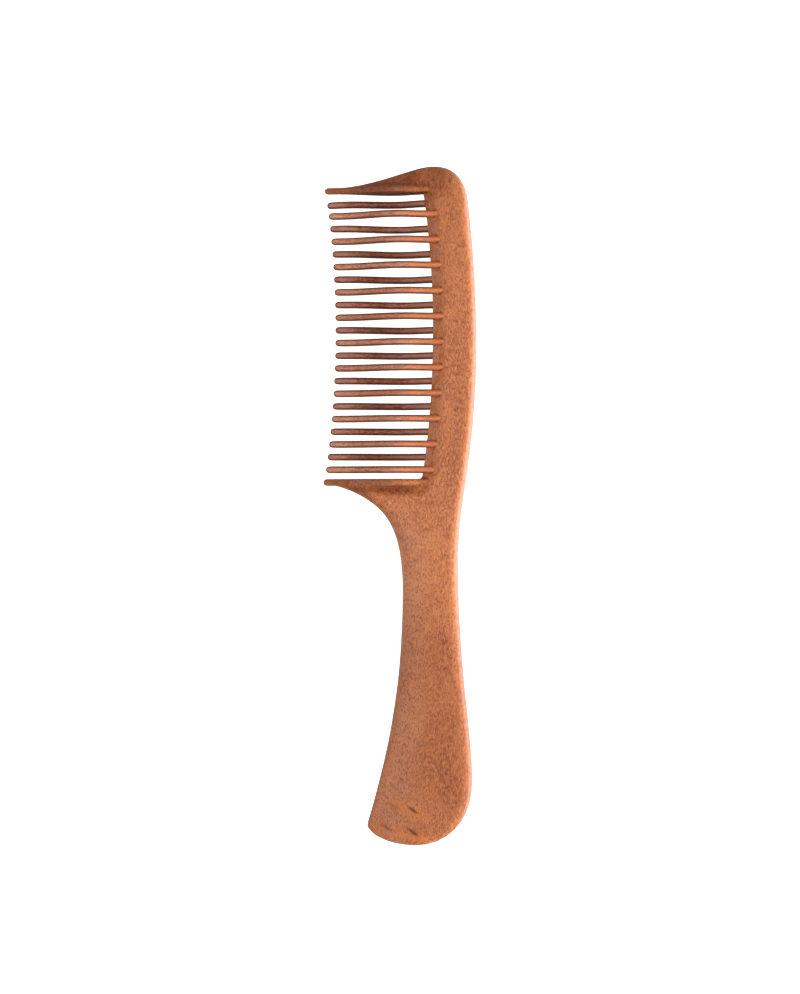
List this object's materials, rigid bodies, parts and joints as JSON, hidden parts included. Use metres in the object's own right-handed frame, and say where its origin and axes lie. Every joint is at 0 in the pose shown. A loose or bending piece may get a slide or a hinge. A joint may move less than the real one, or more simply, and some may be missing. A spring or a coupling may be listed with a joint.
{
  "type": "wide tooth comb",
  "caption": "Wooden wide tooth hair comb: flat curved handle, two staggered rows of bowed round teeth glued into the spine, and a guard tooth carved at each end.",
  "frame": {"origin": "under the middle of the comb's bounding box, at the level of its lowest points, the bows of the back row of teeth, when it lies on its back", "axes": "+Y along the comb from the butt of the handle to the crown, +X from the tooth tips to the spine, +Z out of the front face"},
  "size_m": [0.0481, 0.21, 0.0138],
  "materials": {
    "carved_wood": "satin",
    "front_tooth_wood": "satin",
    "back_tooth_wood": "satin"
  },
  "bodies": {
    "root": {"comb_body": "carved_wood", "front_tooth_01": "front_tooth_wood", "front_tooth_02": "front_tooth_wood", "front_tooth_03": "front_tooth_wood", "front_tooth_04": "front_tooth_wood", "front_tooth_05": "front_tooth_wood", "front_tooth_06": "front_tooth_wood", "front_tooth_07": "front_tooth_wood", "front_tooth_08": "front_tooth_wood", "front_tooth_09": "front_tooth_wood", "front_tooth_10": "front_tooth_wood", "front_tooth_11": "front_tooth_wood", "back_tooth_01": "back_tooth_wood", "back_tooth_02": "back_tooth_wood", "back_tooth_03": "back_tooth_wood", "back_tooth_04": "back_tooth_wood", "back_tooth_05": "back_tooth_wood", "back_tooth_06": "back_tooth_wood", "back_tooth_07": "back_tooth_wood", "back_tooth_08": "back_tooth_wood", "back_tooth_09": "back_tooth_wood", "back_tooth_10": "back_tooth_wood", "back_tooth_11": "back_tooth_wood"}
  },
  "joints": []
}
